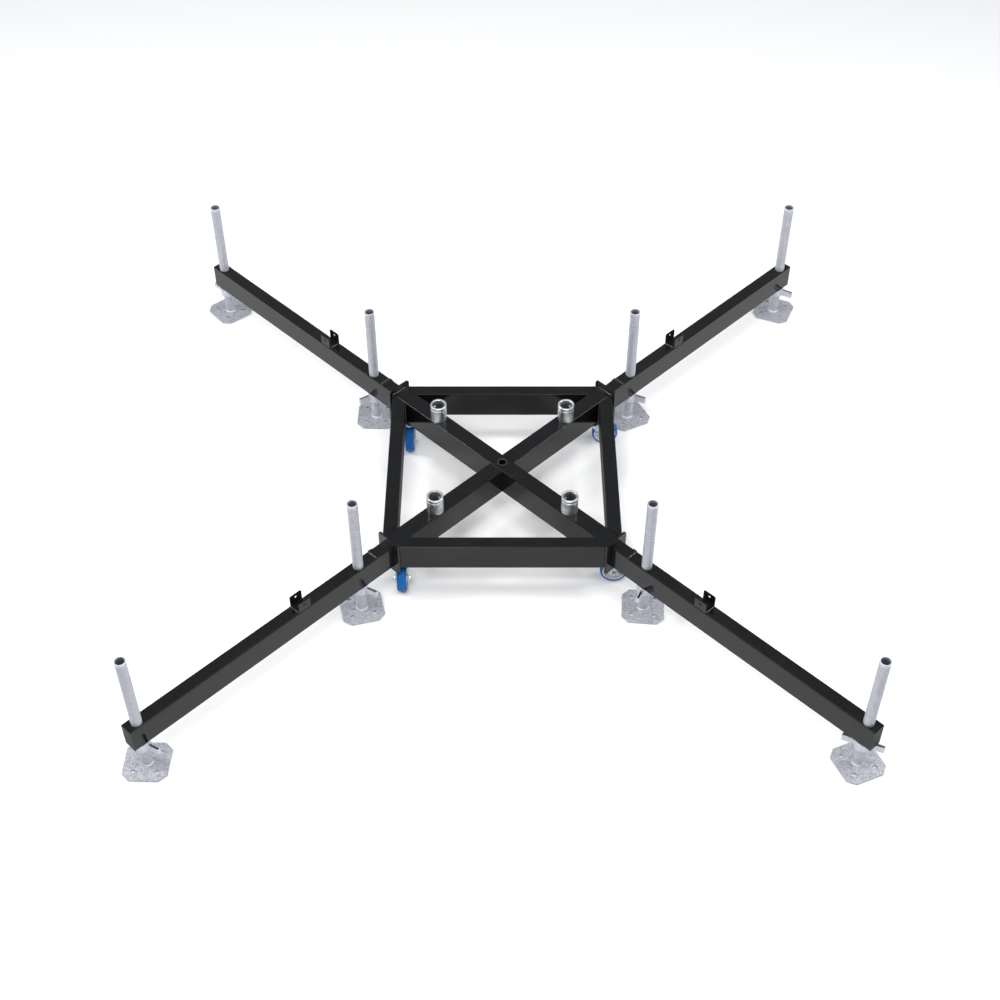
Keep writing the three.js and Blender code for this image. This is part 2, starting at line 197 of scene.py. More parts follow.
def surface(tree, shader, tone, gloss, height, strength, depth):
    """Wires up colour and roughness, and a bump of that depth in metres."""
    tree.links.new(tone, shader.inputs["Base Color"])
    tree.links.new(gloss, shader.inputs["Roughness"])
    bump = add_node(tree, "Bump", {"Strength": strength, "Distance": depth, "Height": height})
    tree.links.new(bump.outputs["Normal"], shader.inputs["Normal"])


def black_coat(name, shine):
    """Black powder coat with dust in the film, satin when seen at a shallow angle."""
    material, tree, shader, place = new_material(name, Specular_IOR_Level=shine)
    dust = noise(tree, place, 7, 6, 0.7)
    speck = noise(tree, place, 170, 3, 0.6)
    tone = ramp(tree, mix(tree, 0.55, dust, speck), (0.42, COAT_BLACK), (0.66, COAT_DUST))
    facing = add_node(tree, "LayerWeight", {"Blend": 0.5}).outputs["Facing"]
    shallow = ramp(tree, facing, (0.6, grey(0.0)), (0.76, grey(1.0)))
    gloss = ramp(tree, dust, (0.35, grey(0.07)), (0.7, grey(0.15)))
    gloss = mix(tree, shallow, gloss, (*grey(0.62), 1))
    waves = mix(tree, 0.35, noise(tree, place, 420, 2), noise(tree, place, 26, 3))
    surface(tree, shader, tone, gloss, waves, 0.18, 0.0004)
    return material


BLACK = black_coat("gloss_black_coat", 0.3)


def only(obj):
    """Makes obj the one selected and active object."""
    bpy.ops.object.select_all(action="DESELECT")
    obj.select_set(True)
    bpy.context.view_layer.objects.active = obj


def settle(obj, turn=0.0, at=(0, 0, 0)):
    """Turns obj about Z, moves it, and applies its place to its mesh."""
    only(obj)
    obj.rotation_euler.z += turn
    obj.location = Vector(obj.location) + Vector(at)
    bpy.ops.object.transform_apply(location=True, rotation=True, scale=True)
    return obj


def block(name, low, high):
    """A box from its lowest to its highest corner."""
    low, high = Vector(low), Vector(high)
    bpy.ops.object.select_all(action="DESELECT")
    bpy.ops.mesh.primitive_cube_add(size=1, location=(low + high) / 2)
    box = bpy.context.object
    box.name = name
    box.scale = high - low
    return settle(box)


def enter_edit(obj, kind, action):
    """Goes into edit mode on obj, with all or none of that kind selected."""
    only(obj)
    bpy.ops.object.mode_set(mode="EDIT")
    bpy.ops.mesh.select_mode(type=kind)
    bpy.ops.mesh.select_all(action=action)


def leave_edit():
    bpy.ops.object.mode_set(mode="OBJECT")


def pick_edges(obj, test):
    """Goes into edit mode on obj with the edges selected that pass test."""
    enter_edit(obj, "EDGE", "DESELECT")
    leave_edit()
    for edge in obj.data.edges:
        edge.select = test(*(obj.data.vertices[index].co for index in edge.vertices))
    bpy.ops.object.mode_set(mode="EDIT")


def runs_along(axis):
    """A test for edges that lie along one axis."""
    def test(start, end):
        step = end - start
        return abs(step[axis]) > 0.999 * step.length
    return test


def round_edges(obj, test, radius, segments=3):
    pick_edges(obj, test)
    bpy.ops.mesh.bevel(offset=radius, segments=segments, affect="EDGES")
    leave_edit()


def slice_off(obj, point, normal):
    """Cuts away what lies beyond the plane and closes the cut."""
    enter_edit(obj, "FACE", "SELECT")
    bpy.ops.mesh.bisect(plane_co=point, plane_no=normal, use_fill=True, clear_outer=True)
    leave_edit()


def unit(degrees):
    return Vector((math.cos(math.radians(degrees)), math.sin(math.radians(degrees)), 0))


def make_rail(name, turn):
    """The front rail, mitred to the cross bars and cut off at the flanges, then turned."""
    rail = block(
        name, (-frame_half, -frame_half, frame_bottom),
        (frame_half, rail_width - frame_half, frame_top),
    )
    round_edges(rail, runs_along(0), SECTION_RADIUS)
    for corner, side in (("front_left", -1), ("front_right", 1)):
        outwards = unit(CORNERS[corner])
        across = unit(CORNERS[corner] + 90 * side)
        slice_off(rail, -across * (BAR_WIDTH / 2 + SEAM), across)
        slice_off(rail, outwards * (flange_inner - SEAM), outwards)
    return settle(rail, turn)


def apply_modifier(obj, kind, **settings):
    only(obj)
    modifier = obj.modifiers.new(kind.lower(), kind)
    for name, value in settings.items():
        setattr(modifier, name, value)
    bpy.ops.object.modifier_apply(modifier=modifier.name)


def dress(obj, material, body, slot, *nodes):
    """Gives obj its shading, material and body, and hides the CAD nodes it stands for.

    Weighted normals keep the flat faces flat right up to their rounded edges."""
    only(obj)
    bpy.ops.object.shade_smooth_by_angle(angle=math.radians(SHARP_ANGLE))
    apply_modifier(obj, "WEIGHTED_NORMAL", keep_sharp=True)
    obj.data.materials.clear()
    obj.data.materials.append(material)
    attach(obj, body)
    if nodes:
        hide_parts(*nodes)


for turn, name in enumerate(("rail_front", "rail_right", "rail_back", "rail_left")):
    rail = make_rail("steel_" + name, turn * math.pi / 2)
    dress(rail, BLACK, "base_frame", "black_powder_coat", name)


# ---------------------------------------------------------------------------
# Cross bars. Heavier rectangular tube, left open at the corners so that it
# holds the outrigger arms. One bar runs right across; the other is in two
# halves, butted to its sides and welded.

BAR_WALL = 0.005
BUSH_DIAMETER = 0.042
CUT_PAST = 0.01  # how far a cutter reaches past what it cuts
bar_end = flange_inner - SEAM


def drill(obj, cutter):
    """Cuts the cutter out of obj and removes the cutter."""
    apply_modifier(obj, "BOOLEAN", operation="DIFFERENCE", solver="EXACT", object=cutter)
    bpy.data.objects.remove(cutter)


def open_tube(name, start, end, width, bottom, top, wall):
    """Rectangular tube along X, open at both ends."""
    tube = block(name, (start, -width / 2, bottom), (end, width / 2, top))
    round_edges(tube, runs_along(0), SECTION_RADIUS)
    inside = width / 2 - wall
    drill(tube, block(
        "cutter", (start - CUT_PAST, -inside, bottom + wall),
        (end + CUT_PAST, inside, top - wall),
    ))
    return tube


def round_bar(name, diameter, start, end, sides=48):
    """A cylinder between two points, to cut holes with and to start round work from."""
    start, end = Vector(start), Vector(end)
    bpy.ops.object.select_all(action="DESELECT")
    bpy.ops.mesh.primitive_cylinder_add(
        vertices=sides, radius=diameter / 2, depth=(end - start).length,
        location=(start + end) / 2, rotation=(end - start).to_track_quat("Z", "Y").to_euler(),
    )
    bar = bpy.context.object
    bar.name = name
    return settle(bar)


def drill_down(obj, diameter, x, y, bottom, top, sides=48):
    """Drills an upright hole through what lies between two heights."""
    foot, head = (x, y, bottom - CUT_PAST), (x, y, top + CUT_PAST)
    drill(obj, round_bar("cutter", diameter, foot, head, sides))


cross_bar = open_tube(
    "steel_cross_bar", -bar_end, bar_end, BAR_WIDTH, frame_bottom, frame_top, BAR_WALL
)
drill_down(cross_bar, BUSH_DIAMETER + SEAM, 0, 0, frame_top - 2 * BAR_WALL, frame_top)
settle(cross_bar, math.radians(CORNERS["front_right"]))
dress(cross_bar, BLACK, "base_frame", "black_powder_coat", "cross_bar")
for name, corner in (("half_bar_front", "front_left"), ("half_bar_back", "back_right")):
    half_bar = open_tube(
        "steel_" + name, BAR_WIDTH / 2 + SEAM, bar_end, BAR_WIDTH,
        frame_bottom, frame_top, BAR_WALL,
    )
    settle(half_bar, math.radians(CORNERS[corner]))
    dress(half_bar, BLACK, "base_frame", "black_powder_coat", name)


# ---------------------------------------------------------------------------
# Centre bush. A short turned collar let into the top of the whole cross bar
# and standing a few millimetres proud; its bore takes a locating stud. The
# coat lies thick and glassy on such small round shapes, as on the weld beads.

BUSH_BORE = 0.026
BUSH_CHAMFER = 0.003
BEAD_BLACK = black_coat("thick_gloss_black_coat", 0.9)


def turned(name, profile, steps=48):
    """Lathe work: (radius, height) points, drawn vertex by vertex and spun about Z."""
    bpy.ops.object.select_all(action="DESELECT")
    bpy.ops.mesh.primitive_plane_add(size=0.001)
    piece = bpy.context.object
    piece.name = name
    enter_edit(piece, "VERT", "SELECT")
    bpy.ops.mesh.merge(type="CENTER")
    points = [Vector((radius, 0, height)) for radius, height in profile]
    bpy.ops.transform.translate(value=points[0])
    for here, there in zip(points, points[1:]):
        bpy.ops.mesh.extrude_region_move(TRANSFORM_OT_translate={"value": there - here})
    bpy.ops.mesh.select_all(action="SELECT")
    bpy.ops.mesh.spin(steps=steps, angle=2 * math.pi, center=(0, 0, 0), axis=(0, 0, 1))
    bpy.ops.mesh.select_all(action="SELECT")
    bpy.ops.mesh.remove_doubles(threshold=0.000002)
    bpy.ops.mesh.normals_make_consistent(inside=False)
    leave_edit()
    return piece


def soften(obj, width, segments=2, angle=40):
    """Rounds every edge that is sharper than angle."""
    apply_modifier(
        obj, "BEVEL", width=width, segments=segments, limit_method="ANGLE",
        angle_limit=math.radians(angle), use_clamp_overlap=True,
    )


def make_bush():
    low, high = (corner.z for corner in box_of("centre_bush"))
    outer, inner = BUSH_DIAMETER / 2, BUSH_BORE / 2
    bush = turned("turned_centre_bush", [
        (inner, low),
        (outer - BUSH_CHAMFER, low),
        (outer, low + BUSH_CHAMFER),
        (outer, high - BUSH_CHAMFER),
        (outer - BUSH_CHAMFER, high),
        (inner + BUSH_CHAMFER, high),
        (inner, high - BUSH_CHAMFER),
        (inner, low),
    ])
    soften(bush, 0.0004)
    return bush


dress(make_bush(), BEAD_BLACK, "base_frame", "black_powder_coat", "centre_bush")


# ---------------------------------------------------------------------------
# Corner flange plates. Flame-cut steel plate with rounded corners and a
# window for the arm, standing proud of the frame all round and welded to the
# rail ends on its inner face.

FLANGE_WIDTH = 0.100
FLANGE_CORNER = 0.009
WINDOW_WIDTH = 0.052
WINDOW_HEIGHT = 0.098
WINDOW_CORNER = 0.003
flange_bottom, flange_top = (corner.z for corner in box_of("flange_back_right"))
flange_middle = (flange_bottom + flange_top) / 2
flange_outer = flange_inner + FLANGE_THICKNESS

for corner, angle in CORNERS.items():
    flange = block(
        "plate_flange_" + corner,
        (flange_inner, -FLANGE_WIDTH / 2, flange_bottom),
        (flange_outer, FLANGE_WIDTH / 2, flange_top),
    )
    round_edges(flange, runs_along(0), FLANGE_CORNER, 6)
    window = block(
        "cutter",
        (flange_inner - CUT_PAST, -WINDOW_WIDTH / 2, flange_middle - WINDOW_HEIGHT / 2),
        (flange_outer + CUT_PAST, WINDOW_WIDTH / 2, flange_middle + WINDOW_HEIGHT / 2),
    )
    round_edges(window, runs_along(0), WINDOW_CORNER)
    drill(flange, window)
    soften(flange, 0.0007)
    settle(flange, math.radians(angle))
    dress(flange, BLACK, "base_frame", "black_powder_coat", "flange_" + corner)


# ---------------------------------------------------------------------------
# Weld beads of the frame. Hand-laid fillet welds with the ripple of the
# travelling arc, painted over with the rest: round the flange plates and up
# the corners between rails and bars.

FRAME_BEAD = 0.0038
CORNER_BEAD = 0.0028
BEAD_SINK = 0.0012
BEAD_SIDES = 8
RIPPLE_PITCH = 0.0042
RIPPLE_SWELL = 0.16
RIPPLE_DRIFT = 0.05
MOST_CUTS = 100
cut_half_width = frame_half * math.sqrt(2) - flange_inner
bead_face = flange_inner - BEAD_SINK
inner_corner = (frame_half - rail_width) * math.sqrt(2) - BAR_WIDTH / 2


def weld_bead(name, start, end, radius):
    """A bead from start to end, rippled along its length and tapered at its ends."""
    start, end = Vector(start), Vector(end)
    length = (end - start).length
    bead = round_bar(name, 2 * radius, (0, 0, 0), (0, 0, length), BEAD_SIDES)
    pick_edges(bead, runs_along(2))
    bpy.ops.mesh.subdivide(number_cuts=min(MOST_CUTS, int(3 * length / RIPPLE_PITCH)))
    leave_edit()
    for vertex in bead.data.vertices:
        along = vertex.co.z / RIPPLE_PITCH
        ripple = RIPPLE_SWELL * abs(math.cos(math.pi * along))
        swell = 1 + ripple + RIPPLE_DRIFT * math.sin(2.3 * along)
        taper = min(1.0, 0.55 + 60 * min(vertex.co.z, length - vertex.co.z))
        vertex.co.x *= swell * taper
        vertex.co.y *= swell * taper
    bead.rotation_euler = (end - start).to_track_quat("Z", "Y").to_euler()
    return settle(bead, at=start)


def join(name, pieces):
    only(pieces[0])
    for piece in pieces:
        piece.select_set(True)
    bpy.ops.object.join()
    pieces[0].name = name
    return pieces[0]


def make_corner_welds(name):
    """Beads along all four sides of a flange, and up both corners inside the frame."""
    face, side, corner, wall = bead_face, cut_half_width, inner_corner, BAR_WIDTH / 2
    foot, top, short = frame_bottom, frame_top, frame_top - 0.001
    return join(name, [weld_bead("bead", *run) for run in (
        ((face, -side, foot), (face, side, foot), FRAME_BEAD),
        ((face, -side, top), (face, side, top), FRAME_BEAD),
        ((face, -side, foot), (face, -side, top), FRAME_BEAD),
        ((face, side, foot), (face, side, top), FRAME_BEAD),
        ((corner, -wall, foot), (corner, -wall, short), CORNER_BEAD),
        ((corner, wall, foot), (corner, wall, short), CORNER_BEAD),
    )])


for corner, angle in CORNERS.items():
    seam = settle(make_corner_welds("weld_corner_" + corner), math.radians(angle))
    dress(seam, BEAD_BLACK, "base_frame", "black_powder_coat")


# ---------------------------------------------------------------------------
# Truss couplers. Receivers turned from bright bar: a conical bore with a
# chamfered mouth, a groove below the rim, fine tool rings all over, and a
# cross hole for the coupling pin. Each is bolted down from inside the bar.

COUPLER_MOUTH = 0.0225
COUPLER_BORE_END = 0.018
COUPLER_FLOOR = 0.014
RIM_CHAMFER = 0.0022
GROOVE_DROP = 0.0135
GROOVE_DEPTH = 0.0011
BOLT_RADIUS = 0.0055
BOLT_STOP = 0.004
PIN_DIAMETER = 0.013
PIN_DROP = 0.026
METAL_BRIGHT = (0.76, 0.78, 0.80)
METAL_DULL = (0.44, 0.455, 0.47)
# The last colour is painted shade for the inside of the coupler bore.
METAL_PAINTED_SHADE = (0.03, 0.032, 0.036)


def paint_shade_in_hollows(tree, tone, deep):
    """Painted shade: blends tone towards the dark colour deep by the mesh's own hollow attribute.
    """
    hollow = add_node(tree, "Attribute", {}, attribute_name="hollow")
    return mix(tree, hollow.outputs["Fac"], tone, (*deep, 1))


def stretched(tree, place, *scale):
    """Coordinates scaled axis by axis, for marks that run one way."""
    return add_node(tree, "Mapping", {"Vector": place, "Scale": scale}).outputs["Vector"]


def turned_metal():
    material, tree, shader, place = new_material("turned_bright_metal", Metallic=1.0)
    stain = noise(tree, place, 34, 4)
    tone = ramp(tree, stain, (0.35, METAL_DULL), (0.6, METAL_BRIGHT))
    # Painted shade down the bore, from the hollow attribute.
    tone = paint_shade_in_hollows(tree, tone, METAL_PAINTED_SHADE)
    tool = noise(tree, stretched(tree, place, 18, 18, 900), 1, 3)
    gloss = ramp(tree, tool, (0.3, grey(0.32)), (0.7, grey(0.52)))
    feed = add_node(
        tree, "TexWave", {"Vector": place, "Scale": 60, "Distortion": 0.3}, bands_direction="Z"
    )
    marks = mix(tree, 0.4, feed.outputs["Fac"], tool)
    surface(tree, shader, tone, gloss, marks, 0.6, 0.0006)
    return material


def store_painted_shade(obj, amount):
    """Stores how much painted shade each vertex gets, 0 to 1, for the material to darken by."""
    hollow = obj.data.attributes.new("hollow", "FLOAT", "POINT").data
    for vertex in obj.data.vertices:
        hollow[vertex.index].value = amount(vertex.co)


def copy_of(obj, name):
    """A copy with a mesh of its own."""
    made = obj.copy()
    made.data = obj.data.copy()
    made.name = name
    bpy.context.collection.objects.link(made)
    return made


def make_coupler():
    low, high = box_of("coupler_back_right")
    foot, rim = low.z, high.z
    radius = (high.x - low.x) / 2
    groove = rim - GROOVE_DROP
    bore_floor = foot + COUPLER_FLOOR
    coupler = turned("turned_coupler", [
        (0, foot),
        (radius - 0.001, foot),
        (radius, foot + 0.001),
        (radius, groove - 0.0025),
        (radius - GROOVE_DEPTH, groove - 0.0018),
        (radius - GROOVE_DEPTH, groove + 0.0012),
        (radius, groove + 0.0019),
        (radius, rim - RIM_CHAMFER),
        (radius - RIM_CHAMFER, rim),
        (COUPLER_MOUTH + RIM_CHAMFER, rim),
        (COUPLER_MOUTH, rim - 1.2 * RIM_CHAMFER),
        (COUPLER_MOUTH - 0.0008, rim - 0.010),
        (COUPLER_MOUTH - 0.0014, rim - 0.018),
        (COUPLER_BORE_END, bore_floor + 0.003),
        (COUPLER_BORE_END - 0.003, bore_floor),
        (BOLT_RADIUS + 0.001, bore_floor),
        (BOLT_RADIUS, bore_floor - 0.001),
        (BOLT_RADIUS, foot + BOLT_STOP),
        (0, foot + BOLT_STOP),
    ], 64)
    pin = rim - PIN_DROP
    drill(coupler, round_bar("cutter", PIN_DIAMETER, (-0.05, 0, pin), (0.05, 0, pin), 32))
    soften(coupler, 0.0004, angle=25)

    # Painted shade: the bore is coloured darker the deeper it lies, up to 0.8 of the way to dark.
    def depth_in_bore(point):
        if point.xy.length >= COUPLER_MOUTH + 0.001:
            return 0
        return min(0.8, max(0, (rim - 0.010 - point.z) / 0.025))

    store_painted_shade(coupler, depth_in_bore)
    return coupler


TURNED = turned_metal()
first_coupler = make_coupler()
coupler_reach = middle_of("coupler_back_right").length
for corner, angle in CORNERS.items():
    coupler = copy_of(first_coupler, "turned_coupler_" + corner)
    settle(coupler, math.radians(angle), unit(angle) * coupler_reach)
    dress(coupler, TURNED, "base_frame", "coupler_metal", "coupler_" + corner)
bpy.data.objects.remove(first_coupler)


# ---------------------------------------------------------------------------
# Outrigger arms. Rectangular tube that slides into the cross bars, drilled
# for the two jack spindles, with a plate welded over its outer end. A strip
# welded across the top stops the arm going in too far.

ARM_WIDTH = 0.050
ARM_WALL = 0.004
CAP_THICKNESS = 0.005
SPINDLE_HOLE = 0.043
STOP_HEIGHT = 0.004
STOP_WIDTH = 0.015
STOP_SETBACK = 0.058
STOP_BEAD = 0.0038
arm_low, arm_high = box_of("arm_back_right")
arm_bottom = arm_low.z
arm_top = arm_high.z - STOP_HEIGHT
arm_start = arm_low.x * math.sqrt(2) + ARM_WIDTH / 2
arm_tip = arm_high.x * math.sqrt(2) - ARM_WIDTH / 2
stop_start = flange_outer + STOP_SETBACK
stop_end = stop_start + STOP_WIDTH


def make_arm():
    tube = open_tube(
        "arm_tube", arm_start, arm_tip - CAP_THICKNESS, ARM_WIDTH, arm_bottom, arm_top, ARM_WALL
    )
    for jack in ("jack_inner_back_right", "jack_outer_back_right"):
        drill_down(tube, SPINDLE_HOLE, middle_of(jack).length, 0, arm_bottom, arm_top)
    return tube


def make_cap():
    cap = block(
        "arm_cap", (arm_tip - CAP_THICKNESS, -ARM_WIDTH / 2, arm_bottom),
        (arm_tip, ARM_WIDTH / 2, arm_top),
    )
    round_edges(cap, runs_along(0), SECTION_RADIUS)
    soften(cap, 0.0006)
    return cap


def make_stop():
    half = ARM_WIDTH / 2 - 0.0005
    strip = block(
        "arm_stop", (stop_start, -half, arm_top - 0.0005), (stop_end, half, arm_top + STOP_HEIGHT)
    )
    soften(strip, 0.0009, 3)
    return strip


def make_stop_weld():
    edge, side, height = stop_end + 0.0008, ARM_WIDTH / 2 - 0.002, arm_top + 0.0014
    return weld_bead("arm_stop_weld", (edge, -side, height), (edge, side, height), STOP_BEAD)


def put_on_arms(piece, coat, *nodes):
    """Copies a piece to each arm, standing for the nodes once a corner's name is added."""
    for corner, angle in CORNERS.items():
        made = settle(copy_of(piece, piece.name + "_" + corner), math.radians(angle))
        stands_for = [node + corner for node in nodes]
        dress(made, coat, "outrigger_" + corner, "black_powder_coat", *stands_for)
    bpy.data.objects.remove(piece)


put_on_arms(make_arm(), BLACK, "arm_")
put_on_arms(make_cap(), BLACK)
put_on_arms(make_stop(), BLACK)
put_on_arms(make_stop_weld(), BEAD_BLACK)


# ---------------------------------------------------------------------------
# Brace brackets. A strap bent up at both sides into two ears with one pin
# hole through both, welded across the top of each arm.

BRACKET_LENGTH = 0.050
BRACKET_THICKNESS = 0.004
BRACKET_BEAD = 0.0032
FOLD_RADIUS = 0.0045
EAR_CORNER = 0.005
EAR_HOLE = 0.011
EAR_HOLE_RISE = 0.029
bracket_low, bracket_high = (corner.z for corner in box_of("brace_bracket_back_right"))
bracket_reach = middle_of("brace_bracket_back_right").length
bracket_start = bracket_reach - BRACKET_LENGTH / 2
bracket_end = bracket_reach + BRACKET_LENGTH / 2


def fuse(obj, *others):
    for other in others:
        apply_modifier(obj, "BOOLEAN", operation="UNION", solver="EXACT", object=other)
        bpy.data.objects.remove(other)


def drill_across(obj, diameter, x, reach, height, sides):
    """Drills a level hole along Y through everything within reach of the middle."""
    drill(obj, round_bar("cutter", diameter, (x, -reach, height), (x, reach, height), sides))


def make_bracket():
    side = ARM_WIDTH / 2
    strap = block(
        "brace_bracket", (bracket_start, -side, bracket_low),
        (bracket_end, side, bracket_low + BRACKET_THICKNESS),
    )
    ears = [
        block(
            "ear", (bracket_start, edge, bracket_low),
            (bracket_end, edge + BRACKET_THICKNESS, bracket_high),
        )
        for edge in (-side, side - BRACKET_THICKNESS)
    ]
    fuse(strap, *ears)

    def is_fold(start, end):
        at_foot = max(start.z, end.z) < bracket_low + 0.0001
        return runs_along(0)(start, end) and at_foot and abs(start.y) > side - 0.0001

    def is_tip(start, end):
        return runs_along(1)(start, end) and min(start.z, end.z) > bracket_high - 0.0001

    round_edges(strap, is_fold, FOLD_RADIUS, 5)
    round_edges(strap, is_tip, EAR_CORNER, 5)
    drill_across(strap, EAR_HOLE, bracket_reach, 0.04, bracket_low + EAR_HOLE_RISE, 32)
    soften(strap, 0.0005)
    return strap


def make_bracket_weld():
    width, height = ARM_WIDTH / 2 - 0.003, arm_top + 0.0012
    return join("brace_bracket_weld", [
        weld_bead("bead", (edge, -width, height), (edge, width, height), BRACKET_BEAD)
        for edge in (bracket_start - 0.0004, bracket_end + 0.0004)
    ])


put_on_arms(make_bracket(), BLACK, "brace_bracket_")
put_on_arms(make_bracket_weld(), BEAD_BLACK)


# ---------------------------------------------------------------------------
# Jack spindles and base plates. A 38 mm tube with a coarse thread rolled into
# its outside, plain for a few millimetres at the top and welded at the foot to
# a square plate with cropped corners; the whole jack is hot-dip galvanised.

PLATE_SIDE = 0.150
PLATE_CROP = 0.025
PLATE_THICKNESS = 0.006
PLATE_HOLE = 0.014
HOLE_SPACING = 0.080
SPINDLE_RADIUS = 0.019
SPINDLE_WALL = 0.004
THREAD_PITCH = 0.008
THREAD_DEPTH = 0.0019
THREAD_START = 0.014  # above the plate
THREAD_STOP = 0.009  # below the top
THREAD_FADE = 0.006
ROWS_A_TURN = 6
FOOT_WELD = 0.005
PLATE_TURNS = {
    "inner_front_left": 14, "outer_front_left": -2,
    "inner_front_right": -5, "outer_front_right": 23,
    "inner_back_right": 26, "outer_back_right": -24,
    "inner_back_left": -1, "outer_back_left": 40,
}
ZINC_TUBE = (0.62, 0.635, 0.70)
ZINC_PALE = (0.54, 0.55, 0.60)
ZINC_MIDDLE = (0.42, 0.43, 0.48)
ZINC_DARK = (0.29, 0.30, 0.335)
ZINC_SHADOW = (0.015, 0.016, 0.018)
jack_foot, jack_top = (corner.z for corner in box_of("jack_outer_back_right"))
plate_top = jack_foot + PLATE_THICKNESS


def galvanised_zinc(name, dark, pale, cloudiness):
    """Spangled zinc, with painted shade in the roots of the thread, down the bore and in the
    nut's lug slots.
    """
    material, tree, shader, place = new_material(name, Metallic=0.5)
    spangle = add_node(tree, "TexVoronoi", {"Vector": place, "Scale": 260, "Randomness": 1.0})
    facets = add_node(tree, "SeparateColor", {"Color": spangle.outputs["Color"]})
    cloud = noise(tree, place, 45, 6, 0.75)
    mixed = mix(tree, cloudiness, facets.outputs["Red"], cloud)
    tone = ramp(tree, mixed, (0.15, dark), (0.7, pale))
    tone = paint_shade_in_hollows(tree, tone, ZINC_SHADOW)
    gloss = ramp(tree, mixed, (0.2, grey(0.42)), (0.8, grey(0.6)))
    surface(tree, shader, tone, gloss, noise(tree, place, 900, 2), 0.25, 0.0002)
    return material


GALVANISED_TUBE = galvanised_zinc("galvanised_tube", ZINC_MIDDLE, ZINC_TUBE, 0.6)
GALVANISED_PLATE = galvanised_zinc("galvanised_plate", ZINC_DARK, ZINC_PALE, 0.35)


def make_spindle():
    """The tube is spun with several rows to each thread, then the rows follow the helix."""
    thread_foot = plate_top + THREAD_START
    thread_top = jack_top - THREAD_STOP
    thread_length = thread_top - thread_foot
    rows = int(thread_length / THREAD_PITCH * ROWS_A_TURN)
    outer = SPINDLE_RADIUS
    inner = SPINDLE_RADIUS - SPINDLE_WALL
    spindle = turned("spindle", [
        (inner, plate_top - 0.001),
        (outer, plate_top - 0.001),
        *((outer, thread_foot + thread_length * row / rows) for row in range(rows + 1)),
        (outer, jack_top - 0.001),
        (outer - 0.001, jack_top),
        (inner + 0.0008, jack_top),
        (inner, jack_top - 0.003),
        (inner, jack_top - 0.012),
        (inner, plate_top - 0.001),
    ], 32)

    def in_bore(point):
        return point.xy.length < inner + 0.0001

    def valley(point):
        """How deep in the thread a point lies, from 0 at the crest to 1 at the root."""
        if in_bore(point) or not thread_foot < point.z < thread_top:
            return 0
        phase = point.z / THREAD_PITCH - math.atan2(point.y, point.x) / (2 * math.pi)
        fade = min(1, min(point.z - thread_foot, thread_top - point.z) / THREAD_FADE)
        return fade * (0.5 - 0.5 * math.cos(2 * math.pi * phase)) ** 1.5

    # Painted shade: darker down the bore towards the foot, and a little darker in the roots of
    # the thread.
    def hidden(point):
        if in_bore(point):
            return min(0.96, (jack_top - point.z) / 0.02)
        return 0.3 * valley(point)

    store_painted_shade(spindle, hidden)
    for vertex in spindle.data.vertices:
        shrink = 1 - THREAD_DEPTH * valley(vertex.co) / outer
        vertex.co.x *= shrink
        vertex.co.y *= shrink
    return spindle


def make_plate():
    half = PLATE_SIDE / 2
    plate = block("base_plate", (-half, -half, jack_foot), (half, half, plate_top))
    round_edges(plate, runs_along(2), PLATE_CROP, 1)
    out = HOLE_SPACING / 2
    for x in (-out, out):
        for y in (-out, out):
            drill_down(plate, PLATE_HOLE, x, y, jack_foot, plate_top, 24)
    soften(plate, 0.0008)
    return plate


def make_foot_weld():
    """A fillet round the spindle's foot, with the same ripple as the straight beads."""
    radius, leg, foot = SPINDLE_RADIUS, FOOT_WELD, plate_top - 0.0005
    weld = turned("foot_weld", [
        (radius - 0.002, foot),
        (radius + leg, foot),
        (radius + leg, plate_top + 0.0004),
        (radius + 0.55 * leg, plate_top + 0.55 * leg),
        (radius + 0.0004, plate_top + leg),
        (radius - 0.002, plate_top + leg),
        (radius - 0.002, foot),
    ], 96)
    for vertex in weld.data.vertices:
        turn = math.atan2(vertex.co.y, vertex.co.x)
        swell = 1 + 0.018 * abs(math.cos(13 * turn))
        if vertex.co.xy.length > radius:
            vertex.co.x *= swell
            vertex.co.y *= swell
    return weld


def put_on_jacks(piece, name, turns, zinc, body, *nodes):
    """Copies a piece to each jack, turned by that jack's own degrees."""
    for jack, turn in turns.items():
        made = copy_of(piece, name + jack)
        settle(made, math.radians(turn), middle_of("jack_" + jack))
        dress(made, zinc, body + jack, "galvanised_steel", *(node + jack for node in nodes))
    bpy.data.objects.remove(piece)


put_on_jacks(make_spindle(), "spindle_", PLATE_TURNS, GALVANISED_TUBE, "spindle_", "jack_")
put_on_jacks(make_plate(), "base_plate_", PLATE_TURNS, GALVANISED_PLATE, "spindle_")
put_on_jacks(make_foot_weld(), "foot_weld_", PLATE_TURNS, GALVANISED_TUBE, "spindle_")


# ---------------------------------------------------------------------------
# Jack nuts. A cast collar threaded on the spindle, bearing on the underside
# of the arm, with two hollow lugs to turn it by, open along the top;
# galvanised like the jack.

NUT_RADIUS = 0.029
NUT_BORE = 0.0197
LUG_HEIGHT = 0.025
LUG_THICKNESS = 0.013
LUG_WALL = 0.0027
LUG_CORNER = 0.004
HANDLE_SPAN = 0.142
HANDLE_TURNS = {
    "inner_front_left": -28, "outer_front_left": -29,
    "inner_front_right": 65, "outer_front_right": -23,
    "inner_back_right": -26, "outer_back_right": -30,
    "inner_back_left": 32, "outer_back_left": -38,
}


